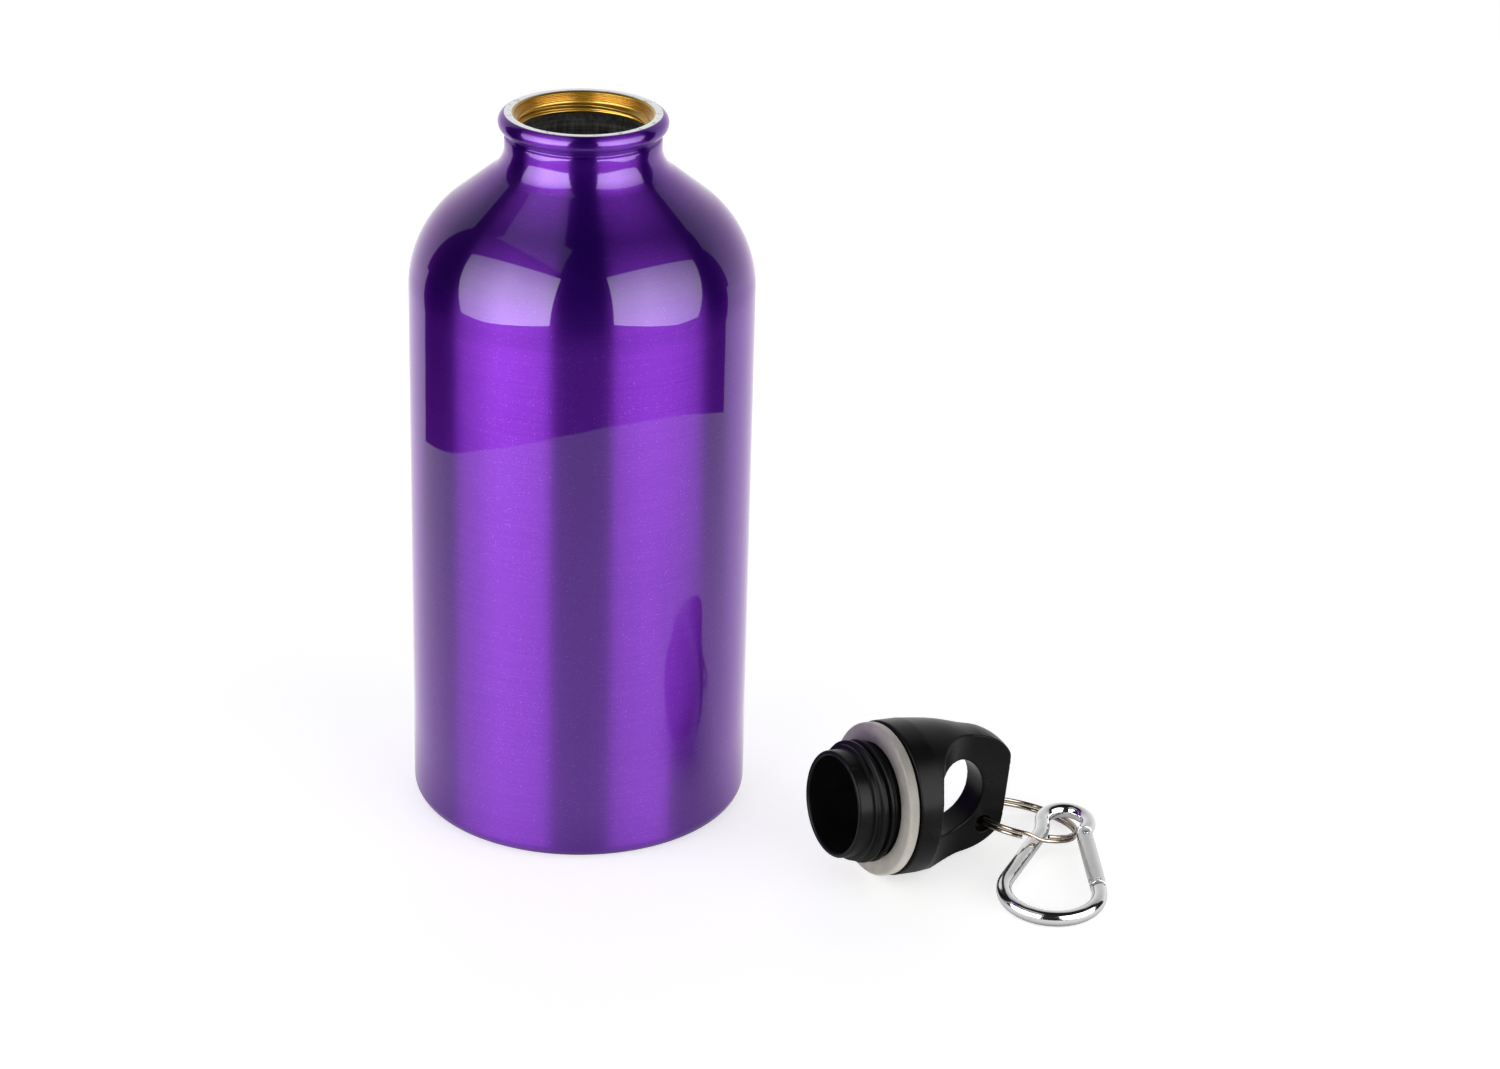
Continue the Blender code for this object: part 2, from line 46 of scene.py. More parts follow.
# Bottle
BODY_RADIUS = 33.0 * MM
SHOULDER_HEIGHT = 106.7 * MM
SHOULDER_ARC = 21.27 * MM
SHOULDER_ANGLE = radians(51.57)
SHOULDER_CONE = 9.84 * MM
NECK_ARC = 6.31 * MM
MOUTH_HEIGHT = 140.7 * MM
BEAD_RADIUS = 1.85 * MM
BEAD_CENTRE = 14.2 * MM
UNDERCUT_HEIGHT = 136.5 * MM
UNDERCUT_RADIUS = 14.3 * MM
WALL = 1.0 * MM
FLOOR = 2.0 * MM
BASE_CORNER = 3.0 * MM
BASE_STEP = 0.8 * MM
BASE_RING = (24.5 * MM, 26.0 * MM)
BASE_EDGE = (0.4 * MM, 0.12 * MM)
MOUTH_FLAT_HALF = 0.65 * MM
BEAD_END = radians(-74)
CREASE = ((0.12 * MM, 0.35 * MM), (0, 0.15 * MM), (0.05 * MM, -0.05 * MM), (0.38 * MM, -0.18 * MM))
CREASE_FOOT = ((-0.06 * MM, -0.34 * MM), (0, -0.6 * MM))
ROLL_GROOVES = 4
ROLL_GROOVED = 0.72
ROLL_GROOVE_DEPTH = 0.22 * MM
LIP_BARE = 0.05 * MM
LINING_REACH = 31.9 * MM
NECK_LINING = 13.9 * MM

# Painted shade on the lacquer: (height, colour scale) pairs that darken the shoulder and neck, where
# the softbox reflections fade
SHOULDER_SHADE = [(104 * MM, 1.0), (115 * MM, 0.36), (124 * MM, 0.27), (130 * MM, 0.70)]

# Threads
PITCH = 1.77 * MM
NECK_THREAD = (12.35 * MM, 11.45 * MM)
NECK_THREAD_LOW = 136.7 * MM
PLUG_THREAD = (10.9 * MM, 11.85 * MM)
PLUG_THREAD_LOW = -5.0 * MM
PLUG_THREAD_HIGH = -0.45 * MM

# Lid, along its own axis
LID_YAW = radians(28.85)
LID_TILT = radians(-5.79)
LID_FACE = Vector((57.659, -33.744, 15.665)) * MM
LID_RADIUS = 15.0 * MM
LID_BAND = (2.5 * MM, 7.3 * MM)
LID_END = 29.2 * MM
LID_RIM_EDGE = (0.5 * MM, 0.35 * MM)
LID_CROWN = [(5.6, 29.2), (7.4, 29.15), (8.6, 28.7), (9.8, 27.6), (11.0, 26.0), (12.0, 24.0),
             (12.6, 22.0), (13.0, 20.0), (14.2, 14.6), (15.0, 7.3)]
SOCKET_RADIUS = 11.2 * MM
SOCKET_DEPTH = 6.0 * MM
WEB_HALF = 3.1 * MM
SCOOP_DEPTH = 12.0 * MM
SCOOP_END = 20.0 * MM
SCOOP_POWER = 1.7
FINGER_HOLE = (15.8 * MM, 0.2 * MM)
FINGER_HOLE_RADIUS = 7.8 * MM
EYELET = (24.9 * MM, -7.0 * MM)
EYELET_RADIUS = 1.8 * MM
GASKET = (11.2 * MM, 14.8 * MM, 2.2 * MM)
GASKET_EDGES = (0.2 * MM, 0.55 * MM)
PLUG_TIP = -8.5 * MM
PLUG_RADIUS = 10.35 * MM
PLUG_BORE = 9.3 * MM
PLUG_FLOOR = 4.2 * MM
PLUG_FLOOR_EDGE = 0.4 * MM
PLUG_STEPS = ((0.25 * MM, 0.12 * MM), (0.25 * MM, 0.42 * MM))
PLUG_FOOT = ((0.1 * MM, 0.6 * MM), (0, 0.85 * MM))
MOULD_MARK_TURN = radians(292)
MOULD_MARK_HALF = radians(3.2)
MOULD_MARK_LENGTH = 1.6 * MM
MOULD_MARK_DEPTH = 0.16 * MM

# Split ring
RING_CENTRE = Vector((88.332, -18.676, 3.939)) * MM
RING_LEAN = (0.202, 0.218)
RING_RADIUS = 10.796 * MM
RING_WIRE = 0.40 * MM
RING_LAYER = 0.45 * MM
RING_START = radians(112)
RING_SWEEP = radians(692)
RING_KINK = radians(97)
RING_KINK_HALF = radians(12)

# Carabiner
EYE_CENTRE = Vector((96.642, -19.699, 4.099)) * MM
CARABINER_TURN = radians(9.4)
CARABINER_SLOPE = atan(0.077)
ROD_RADIUS = 1.5 * MM
EYE_RADIUS = 4.55 * MM
EYE_SHOULDER = 1.6 * MM
ROD_STEP = 0.25 * MM
NECK_SIDE = (-4.25 * MM, 4.6 * MM)
BIG_SIDE = (-8.45 * MM, 22.0 * MM)
BIG_RADIUS = 9.25 * MM
BIG_CENTRE = 24.3 * MM
NOSE_RADIUS = 9.05 * MM
NOSE_LEAD = radians(4)
GATE_HINGE = (4.45 * MM, 4.75 * MM)
GATE_TIP = (8.75 * MM, 21.8 * MM)
GATE_RADIUS = 1.65 * MM
GATE_END_GAP = 0.45 * MM
GATE_BORE = 0.95 * MM
GATE_BORE_END = 12.5 * MM
GATE_SLOT_HALF = 0.75 * MM
HINGE_SLOT_END = 1.9 * MM
LATCH_SLOT = 3.0 * MM
TONGUE_HALF = 0.58 * MM
TONGUE_END = 1.1 * MM
LATCH_TONGUE = 2.5 * MM
RIVET_RADIUS = 0.42 * MM
RIVET_HEAD = (0.8 * MM, 0.3 * MM)
LATCH_PIN_RADIUS = 0.35 * MM
LATCH_PIN_BACK = 1.3 * MM
LATCH_PIN_EDGE = 0.08 * MM
LATCH_PIN_SHORT = 0.05 * MM
PIN_FIT = 0.06 * MM
NOTCH_HALF = 0.55 * MM
SPRING_COIL = 0.62 * MM
SPRING_WIRE = 0.14 * MM
SPRING_ENDS = (2.9 * MM, 12.2 * MM)
SPRING_TURNS = 7
PLUNGER_TIP = 1.5 * MM
PLUNGER_NOSE = 0.6 * MM
PLUNGER_FLANGE = (0.82 * MM, 0.4 * MM)
PLUNGER_SEAT = 0.15 * MM

# Studio
CAMERA_PLACE = Vector((33.142, -646.088, 346.069)) * MM
CAMERA_PITCH = radians(24.22)
CAMERA_ROLL = radians(1.594)
CAMERA_LENS = 86.83
TABLE_CENTRE = Vector((15, -20, 0)) * MM
TABLE_RADIUS = 228 * MM
SOFTBOX_TARGET = Vector((0, 0, 115)) * MM
SOFTBOX_RISE = [(0.0, 1.15), (0.55, 1.0), (1.0, 0.50)]
SOFTBOX_DISTANCE = 0.60
SOFTBOX_RADIANCE = 7.0
FILL_SHARE = 0.36
LEFT_FADE = [(0.0, 0.54), (0.25, 0.81), (0.5, 1.28), (1.0, 1.18)]
RIGHT_FADE = [(0.0, 0.92), (0.4, 1.10), (0.75, 0.76), (1.0, 0.52)]
BACKDROP_SIDES = (-0.56, 0.80)
BACKDROP_DEPTH = 0.34
BACKDROP_TOP = 0.60
BACKDROP_RISE = ((0.03, 1.15), (0.50, 0.55))
CEILING_TURNS = (-104, -17)
CEILING_RISES = (50, 75)
CEILING_DISTANCE = 1.2
CEILING_GREY = 0.60
SURROUND_TURNS = (-120, 112)
SURROUND_REACH = 10.0
SURROUND_LIFT = 0.4 * MM
FLOOR_HALF = 6.0
FLOOR_COLOUR = (0.62, 0.62, 0.61)
FLOOR_RISE = ((0.30, 0.625), (3.0, 1.10))
FLOOR_GLOW = 1.05
# painted contact shade: how far ambient occlusion dims the floor's glow in reflections near the objects
CONTACT_SHADE_REACH = 20 * MM
WORLD_FILL = 0.30
WORLD_GLOSS = 0.02


# ---------------------------------------------------------------- camera
def make_camera():
    side = Vector((1, 0, 0))
    up = Vector((0, sin(CAMERA_PITCH), cos(CAMERA_PITCH)))
    ahead = Vector((0, cos(CAMERA_PITCH), -sin(CAMERA_PITCH)))
    right = side * cos(CAMERA_ROLL) + up * sin(CAMERA_ROLL)
    top = up * cos(CAMERA_ROLL) - side * sin(CAMERA_ROLL)
    data = bpy.data.cameras.new("camera")
    data.lens = CAMERA_LENS
    data.sensor_width = 36.0
    data.clip_start = 0.01
    camera = bpy.data.objects.new("camera", data)
    bpy.context.scene.collection.objects.link(camera)
    turn = Matrix((right, top, -ahead)).transposed().to_4x4()
    camera.matrix_world = Matrix.Translation(CAMERA_PLACE) @ turn
    bpy.context.scene.camera = camera


# ---------------------------------------------------------------- meshes
def mesh_object(name, points, faces, place=None):
    mesh = bpy.data.meshes.new(name)
    mesh.from_pydata([tuple(p) for p in points], [], faces)
    mesh.update()
    obj = bpy.data.objects.new(name, mesh)
    bpy.context.scene.collection.objects.link(obj)
    if place is not None:
        mesh.transform(place)
    return obj


def arc(centre, radius, start, end, count):
    across, up = centre
    angles = [start + (end - start) * i / (count - 1) for i in range(count)]
    return [(across + radius * cos(a), up + radius * sin(a)) for a in angles]


def lathe(name, profile, steps, place=None, shift=None):
    """Turn (radius, height) points about Z. shift(angle, row, radius, height) moves a point out."""
    closed = profile[0][0] > 0
    points = []
    rings = []
    for row, (radius, height) in enumerate(profile):
        if radius <= 0:
            rings.append([len(points)] * steps)
            points.append((0, 0, height))
            continue
        rings.append(list(range(len(points), len(points) + steps)))
        for k in range(steps):
            angle = tau * k / steps
            r = radius + (shift(angle, row, radius, height) if shift else 0.0)
            points.append((r * cos(angle), r * sin(angle), height))
    pairs = list(zip(rings, rings[1:]))
    if closed:
        pairs.append((rings[-1], rings[0]))
    faces = []
    for upper, lower in pairs:
        for k in range(steps):
            j = (k + 1) % steps
            corners = [upper[k], lower[k], lower[j], upper[j]]
            face = [c for i, c in enumerate(corners) if c not in corners[:i]]
            if len(face) > 2:
                faces.append(face)
    return mesh_object(name, points, faces, place)


def tube(name, points, radius, sides, normal, place=None, closed_ends=True):
    """Sweep a circle along a path; normal is the direction that the section keeps near."""
    path = [Vector(p) for p in points]
    count = len(path)
    verts = []
    for i, p in enumerate(path):
        ahead = (path[min(i + 1, count - 1)] - path[max(i - 1, 0)]).normalized()
        side = ahead.cross(normal).normalized()
        up = side.cross(ahead)
        for k in range(sides):
            a = tau * k / sides
            verts.append(p + (side * cos(a) + up * sin(a)) * radius)
    faces = []
    for i in range(count - 1):
        for k in range(sides):
            j = (k + 1) % sides
            a, b = i * sides, (i + 1) * sides
            faces.append((a + k, a + j, b + j, b + k))
    if closed_ends:
        faces.append(tuple(range(sides))[::-1])
        faces.append(tuple((count - 1) * sides + k for k in range(sides)))
    return mesh_object(name, verts, faces, place)


def prism(name, outline, half, place=None):
    """A plate of the outline in the XY plane, half thick to each side."""
    count = len(outline)
    points = [(x, y, -half) for x, y in outline] + [(x, y, half) for x, y in outline]
    faces = [tuple(range(count))[::-1], tuple(range(count, 2 * count))]
    faces += [(k, (k + 1) % count, count + (k + 1) % count, count + k) for k in range(count)]
    obj = mesh_object(name, points, faces, place)
    face_outwards(obj)
    return obj


def rod(name, radius, low, high, place, sides=48):
    outline = [(radius * cos(tau * k / sides), radius * sin(tau * k / sides)) for k in range(sides)]
    middle = Matrix.Translation((0, 0, (low + high) / 2))
    return prism(name, outline, (high - low) / 2, place @ middle)


def block(name, low, high, place):
    outline = [(low[0], low[1]), (high[0], low[1]), (high[0], high[1]), (low[0], high[1])]
    middle = Matrix.Translation((0, 0, (low[2] + high[2]) / 2))
    return prism(name, outline, (high[2] - low[2]) / 2, place @ middle)


def face_outwards(obj):
    shape = bmesh.new()
    shape.from_mesh(obj.data)
    bmesh.ops.recalc_face_normals(shape, faces=shape.faces)
    shape.to_mesh(obj.data)
    shape.free()


def apply(obj):
    """Put the object's modifiers into its mesh."""
    bpy.context.view_layer.update()
    graph = bpy.context.evaluated_depsgraph_get()
    mesh = bpy.data.meshes.new_from_object(obj.evaluated_get(graph))
    obj.modifiers.clear()
    old = obj.data
    obj.data = mesh
    bpy.data.meshes.remove(old)
    mesh.name = obj.name


def cut(obj, cutters, operation="DIFFERENCE"):
    for cutter in cutters:
        change = obj.modifiers.new("cut", "BOOLEAN")
        change.operation = operation
        change.solver = "EXACT"
        change.object = cutter
        apply(obj)
        bpy.data.objects.remove(cutter, do_unlink=True)


def soften(obj, voxel, passes):
    """Rebuild the surface on a fine grid and round its edges a little."""
    grid = obj.modifiers.new("grid", "REMESH")
    grid.mode = "VOXEL"
    grid.voxel_size = voxel
    smooth = obj.modifiers.new("smooth", "SMOOTH")
    smooth.factor = 0.5
    smooth.iterations = passes
    apply(obj)


def finish(obj, paint, angle=None):
    """Give the mesh its paint and smooth shading, with sharp edges past the angle if there is one."""
    obj.data.materials.append(paint)
    obj.data.shade_smooth()
    if angle is not None:
        obj.data.set_sharp_from_angle(angle=angle)
    return obj


# ---------------------------------------------------------------- materials
class Paint:
    """A node material with a few short calls for its nodes."""

    def __init__(self, name, colour, roughness, metallic=0.0):
        self.material = bpy.data.materials.new(name)
        self.material.use_nodes = True
        self.tree = self.material.node_tree
        self.shader = self.tree.nodes["Principled BSDF"]
        self.set("Base Color", (*colour, 1.0))
        self.set("Roughness", roughness)
        self.set("Metallic", metallic)
        self.place = self.node("ShaderNodeTexCoord").outputs["Object"]

    def set(self, name, value, shader=None):
        (shader or self.shader).inputs[name].default_value = value

    def node(self, kind, **settings):
        made = self.tree.nodes.new(kind)
        for key, value in settings.items():
            setattr(made, key, value)
        return made

    def link(self, source, target):
        self.tree.links.new(source, target)

    def scaled(self, scale):
        mapping = self.node("ShaderNodeMapping")
        mapping.inputs["Scale"].default_value = scale
        self.link(self.place, mapping.inputs["Vector"])
        return mapping.outputs["Vector"]

    def noise(self, scale, detail=3.0, rough=0.5, vector=None):
        made = self.node("ShaderNodeTexNoise")
        made.inputs["Scale"].default_value = scale
        made.inputs["Detail"].default_value = detail
        made.inputs["Roughness"].default_value = rough
        self.link(vector or self.place, made.inputs["Vector"])
        return made.outputs["Fac"]

    def span(self, value, low, high, start=0.0, end=1.0):
        made = self.node("ShaderNodeMapRange")
        made.inputs["From Min"].default_value = start
        made.inputs["From Max"].default_value = end
        made.inputs["To Min"].default_value = low
        made.inputs["To Max"].default_value = high
        self.link(value, made.inputs["Value"])
        return made.outputs["Result"]

    def ramp(self, value, stops):
        made = self.node("ShaderNodeValToRGB")
        ramp = made.color_ramp
        while len(ramp.elements) < len(stops):
            ramp.elements.new(0.5)
        for element, (place, colour) in zip(ramp.elements, stops):
            element.position = place
            element.color = (*colour, 1.0)
        self.link(value, made.inputs["Fac"])
        return made.outputs["Color"]

    def bump(self, height, strength, distance=0.0001, target="Normal", shader=None):
        made = self.node("ShaderNodeBump")
        made.inputs["Strength"].default_value = strength
        made.inputs["Distance"].default_value = distance
        self.link(height, made.inputs["Height"])
        self.link(made.outputs["Normal"], (shader or self.shader).inputs[target])
        return made


def lacquer():
    """Clear violet lacquer over aluminium that was brushed round the bottle, with painted shade
    darkening its colour on the shoulder and neck.
    """
    paint = Paint("violet_lacquer", (0.112, 0.0205, 0.250), 0.34, 1.0)
    lines = paint.noise(1.0, 4.0, 0.6, paint.scaled((60, 60, 9000)))
    cloud = paint.noise(60.0, 3.0, 0.5)
    flakes = paint.noise(4200.0, 1.0, 0.5)
    tint = paint.ramp(lines, [(0.35, (0.103, 0.0180, 0.232)), (0.65, (0.126, 0.0230, 0.272))])
    sparkle = paint.ramp(flakes, [(0.66, (0, 0, 0)), (0.74, (0.10, 0.05, 0.14))])
    both = paint.node("ShaderNodeMix", data_type="RGBA", blend_type="ADD")
    both.inputs["Factor"].default_value = 1.0
    paint.link(tint, both.inputs["A"])
    paint.link(sparkle, both.inputs["B"])
    height = paint.node("ShaderNodeSeparateXYZ")
    paint.link(paint.place, height.inputs[0])
    # painted shade: the lacquer colour is scaled down by height, darkest on the shoulder between 115
    # and 124 mm up
    shaded_colour = paint.node("ShaderNodeVectorMath", operation="SCALE")
    paint.link(both.outputs["Result"], shaded_colour.inputs[0])
    share = paint.span(height.outputs["Z"], 0.0, 1.0, 0.0, MOUTH_HEIGHT)
    shoulder_shade = paint.ramp(share, [(z / MOUTH_HEIGHT, (level,) * 3) for z, level in SHOULDER_SHADE])
    paint.link(shoulder_shade, shaded_colour.inputs["Scale"])
    paint.link(shaded_colour.outputs["Vector"], paint.shader.inputs["Base Color"])
    paint.link(paint.span(cloud, 0.31, 0.36), paint.shader.inputs["Roughness"])
    wobble = paint.noise(38.0, 2.0, 0.5)
    paint.bump(lines, 0.10, 0.00003)
    paint.set("Specular Tint", (0.85, 0.50, 0.95, 1))
    paint.set("Anisotropic", 1.0)
    paint.set("Anisotropic Rotation", 0.25)
    tangent = paint.node("ShaderNodeTangent", direction_type="RADIAL", axis="Z")
    paint.link(tangent.outputs["Tangent"], paint.shader.inputs["Tangent"])
    haze = paint.node("ShaderNodeBsdfPrincipled")
    haze.inputs["Base Color"].default_value = (0.13, 0.0005, 0.85, 1)
    haze.inputs["Specular IOR Level"].default_value = 0.0
    for shader in (paint.shader, haze):
        paint.set("Coat Weight", 1.0, shader)
        paint.set("Coat Roughness", 0.015, shader)
        paint.set("Coat IOR", 1.40, shader)
        paint.bump(wobble, 0.35, 0.0002, "Coat Normal", shader)
    mix = paint.node("ShaderNodeMixShader")
    mix.inputs["Fac"].default_value = 0.065
    paint.link(paint.shader.outputs[0], mix.inputs[1])
    paint.link(haze.outputs[0], mix.inputs[2])
    paint.link(mix.outputs[0], paint.tree.nodes["Material Output"].inputs["Surface"])
    return paint.material


def bare_lip():
    """Machined aluminium of the mouth's flat, with its turning marks."""
    paint = Paint("bare_aluminium", (0.88, 0.88, 0.89), 0.30, 1.0)
    marks = paint.noise(1.0, 3.0, 0.6, paint.scaled((400, 400, 9000)))
    nicks = paint.noise(700.0, 2.0, 0.5)
    tint = paint.ramp(nicks, [(0.30, (0.50, 0.50, 0.52)), (0.42, (0.90, 0.90, 0.91))])
    paint.link(tint, paint.shader.inputs["Base Color"])
    paint.bump(marks, 0.10, 0.00003)
    paint.link(paint.span(marks, 0.24, 0.40), paint.shader.inputs["Roughness"])
    return paint.material


def gold():
    """Gold inside lacquer of the neck."""
    paint = Paint("gold_lacquer", (0.62, 0.38, 0.06), 0.36, 1.0)
    marks = paint.noise(1.0, 3.0, 0.5, paint.scaled((40, 40, 2500)))
    tint = paint.ramp(marks, [(0.3, (0.40, 0.22, 0.022)), (0.7, (0.60, 0.37, 0.065))])
    paint.link(tint, paint.shader.inputs["Base Color"])
    turns = paint.noise(1.0, 2.0, 0.5, paint.scaled((8, 8, 1300)))
    paint.bump(turns, 0.8, 0.00022)
    paint.set("Coat Weight", 0.5)
    paint.set("Coat Roughness", 0.12)
    return paint.material


def dark_lining():
    """Dark grey lining of the body, sprayed over the drawing marks."""
    paint = Paint("dark_lining", (0.12, 0.122, 0.118), 0.42, 0.35)
    round_marks = paint.noise(1.0, 2.0, 0.5, paint.scaled((30, 30, 2500)))
    long_marks = paint.noise(1.0, 2.0, 0.5, paint.scaled((1600, 1600, 25)))
    both = paint.node("ShaderNodeMath", operation="ADD")
    paint.link(round_marks, both.inputs[0])
    paint.link(long_marks, both.inputs[1])
    tint = paint.ramp(paint.span(both.outputs[0], 0, 1, 0.7, 1.3),
                      [(0.1, (0.06, 0.062, 0.06)), (0.9, (0.22, 0.225, 0.215))])
    paint.link(tint, paint.shader.inputs["Base Color"])
    paint.bump(both.outputs[0], 0.3, 0.00005)
    return paint.material


def black_plastic(name, shine=0.28):
    """Moulded black plastic with a faint grain and rubbed patches."""
    paint = Paint(name, (0.006, 0.006, 0.0062), shine)
    grain = paint.noise(2600.0, 2.0, 0.5)
    rubbed = paint.noise(140.0, 4.0, 0.6)
    tint = paint.ramp(rubbed, [(0.35, (0.0028, 0.0028, 0.003)), (0.75, (0.006, 0.006, 0.0063))])
    paint.link(tint, paint.shader.inputs["Base Color"])
    paint.link(paint.span(rubbed, shine - 0.06, shine + 0.08), paint.shader.inputs["Roughness"])
    paint.bump(grain, 0.10, 0.00004)
    paint.set("Specular IOR Level", 0.085)
    return paint.material


def silicone():
    """Warm grey silicone with a dusty, slightly mottled surface."""
    paint = Paint("grey_silicone", (0.52, 0.50, 0.45), 0.50)
    mottle = paint.noise(220.0, 5.0, 0.6)
    fine = paint.noise(3000.0, 2.0, 0.5)
    tint = paint.ramp(mottle, [(0.3, (0.44, 0.415, 0.37)), (0.7, (0.57, 0.54, 0.485))])
    paint.link(tint, paint.shader.inputs["Base Color"])
    paint.link(paint.span(mottle, 0.40, 0.56), paint.shader.inputs["Roughness"])
    paint.bump(fine, 0.12, 0.00004)
    paint.set("Specular IOR Level", 0.2)
    paint.set("Subsurface Weight", 0.08)
    paint.set("Subsurface Radius", (0.001, 0.0008, 0.0006))
    return paint.material


def metal(name, colour, roughness, scale, bump=0.05):
    """Bare metal with fine scratches and uneven polish."""
    paint = Paint(name, colour, roughness, 1.0)
    scratches = paint.noise(scale, 4.0, 0.65)
    patches = paint.noise(scale * 0.12, 3.0, 0.5)
    dim = tuple(c * 0.90 for c in colour)
    tint = paint.ramp(patches, [(0.3, dim), (0.7, colour)])
    paint.link(tint, paint.shader.inputs["Base Color"])
    paint.link(paint.span(scratches, roughness * 0.75, roughness * 1.3),
               paint.shader.inputs["Roughness"])
    waves = paint.noise(420.0, 1.0, 0.5)
    hammered = paint.bump(waves, 0.5, 0.00006)
    fine = paint.bump(scratches, bump, 0.00003)
    paint.link(hammered.outputs["Normal"], fine.inputs["Normal"])
    return paint.material


# ---------------------------------------------------------------- bottle
def thread_wave(turn):
    """Rounded thread section: 0 at the root and 1 at the crest."""
    wave = abs(2 * (turn % 1) - 1)
    wave = min(1.0, max(0.0, (wave - 0.18) / 0.64))
    return wave * wave * (3 - 2 * wave)


def shoulder(inset, count):
    middle = BODY_RADIUS - SHOULDER_ARC
    low = arc((middle, SHOULDER_HEIGHT), SHOULDER_ARC - inset, 0, SHOULDER_ANGLE, count)
    out = SHOULDER_ARC + NECK_ARC
    centre = (middle + out * cos(SHOULDER_ANGLE) - SHOULDER_CONE * sin(SHOULDER_ANGLE),
              SHOULDER_HEIGHT + out * sin(SHOULDER_ANGLE) + SHOULDER_CONE * cos(SHOULDER_ANGLE))
    high = arc(centre, NECK_ARC + inset, pi + SHOULDER_ANGLE, pi, count // 2)
    return low + high


def turned_roll(lip, flat):
    """Inner half of the rolled mouth, with the shallow grooves that the threading tool left."""
    points = []
    count = 96
    for i in range(count + 1):
        share = i / count
        angle = pi + (flat - pi / 2) * share
        wave = sin(pi * ROLL_GROOVES * share / ROLL_GROOVED) ** 2 if share < ROLL_GROOVED else 0.0
        radius = BEAD_RADIUS - ROLL_GROOVE_DEPTH * wave
        points.append((BEAD_CENTRE + radius * cos(angle), lip + radius * sin(angle)))
    return points


def make_bottle(paints):
    steps = 256
    inner = BODY_RADIUS - WALL
    corner = BASE_CORNER - WALL / 2
    lip = MOUTH_HEIGHT - (BEAD_RADIUS ** 2 - MOUTH_FLAT_HALF ** 2) ** 0.5
    flat = asin(MOUTH_FLAT_HALF / BEAD_RADIUS)
    low = NECK_THREAD_LOW
    high = lip - GAP
    root, crest = NECK_THREAD
    rows = 48
    inside = [(0, FLOOR)]
    inside += arc((inner - corner, FLOOR + corner), corner, -pi / 2, 0, 12)
    inside += shoulder(WALL, 32)
    inside += [(root + 0.5 * MM, low - 0.5 * MM), (root + 0.1 * MM, low - 0.1 * MM)]
    inside += [(root, low + (high - low) * i / rows) for i in range(rows + 1)]
    mouth = turned_roll(lip, flat)
    bead = arc((BEAD_CENTRE, lip), BEAD_RADIUS, pi / 2 - flat, BEAD_END, 36)
    outer = shoulder(0, 48)[::-1]
    neck_radius = outer[0][0]
    crease = [(UNDERCUT_RADIUS + r, UNDERCUT_HEIGHT + z) for r, z in CREASE]
    crease += [(neck_radius + r, UNDERCUT_HEIGHT + z) for r, z in CREASE_FOOT]
    foot = arc((BODY_RADIUS - BASE_CORNER, BASE_CORNER), BASE_CORNER, 0, -pi / 2, 20)
    ring_in, ring_out = BASE_RING
    edge, rise = BASE_EDGE
    base = [(ring_out, 0), (ring_out - edge, rise), (ring_in + edge, BASE_STEP - rise),
            (ring_in, BASE_STEP), (0, BASE_STEP)]
    profile = inside + mouth + bead + crease + outer + foot + base
    first = len(inside) - rows - 1
    last = len(inside) - 1

    def thread(angle, row, radius, height):
        if not first <= row <= last:
            return 0.0
        ends = min(1.0, (height - low) / (PITCH / 2), (high - height) / (PITCH / 3))
        return (crest - root) * max(0.0, ends) * thread_wave(height / PITCH - angle / tau)

    bottle = lathe("bottle_body_finish", profile, steps, shift=thread)
    face_outwards(bottle)
    for paint in paints[:-1]:
        bottle.data.materials.append(paint)
    finish(bottle, paints[-1])
    for face in bottle.data.polygons:
        middle = face.center
        radius = hypot(middle.x, middle.y)
        facing = middle.x * face.normal.x + middle.y * face.normal.y
        if middle.z > MOUTH_HEIGHT - LIP_BARE and radius < BEAD_CENTRE + MOUTH_FLAT_HALF + LIP_BARE:
            face.material_index = 1
        elif middle.z > NECK_THREAD_LOW - 0.1 * MM and radius < BEAD_CENTRE - MOUTH_FLAT_HALF:
            face.material_index = 2
        elif (facing < 0 or radius < LINING_REACH) and is_inside(middle, radius):
            face.material_index = 3
    return bottle


def is_inside(middle, radius):
    """True for a face of the bottle's inner wall."""
    if middle.z < SHOULDER_HEIGHT:
        return radius < BODY_RADIUS - WALL / 2 and middle.z > FLOOR - 0.3 * MM
    wall = [(r - WALL / 2, z) for r, z in shoulder(0, 24)]
    for (r0, z0), (r1, z1) in zip(wall, wall[1:]):
        if z0 <= middle.z <= z1 and z1 > z0:
            return radius < r0 + (r1 - r0) * (middle.z - z0) / (z1 - z0)
    return radius < NECK_LINING


# ---------------------------------------------------------------- lid
def lid_place():
    axis = Vector((cos(LID_TILT) * cos(LID_YAW), cos(LID_TILT) * sin(LID_YAW), sin(LID_TILT)))
    side = Vector((sin(LID_YAW), -cos(LID_YAW), 0))
    turn = Matrix((side, axis.cross(side), axis)).transposed().to_4x4()
    return Matrix.Translation(LID_FACE) @ turn


def across(place, height, up):
    """A frame whose Z axis crosses the lid at a height along it and a level."""
    return place @ Matrix.Translation((0, -up, height)) @ Matrix.Rotation(pi / 2, 4, "Y")


def scoop_outline():
    count = 48
    points = []
    for i in range(count + 1):
        share = sin(pi / 2 * i / count)
        height = SCOOP_END - share * (SCOOP_END - LID_BAND[1])
        rise = SCOOP_DEPTH * (1 - (1 - share ** SCOOP_POWER) ** (1 / SCOOP_POWER))
        points.append((WEB_HALF + rise, height))
    return points + [(FAR, LID_BAND[1] - GAP), (FAR, LID_END + FAR), (WEB_HALF, LID_END + FAR)]


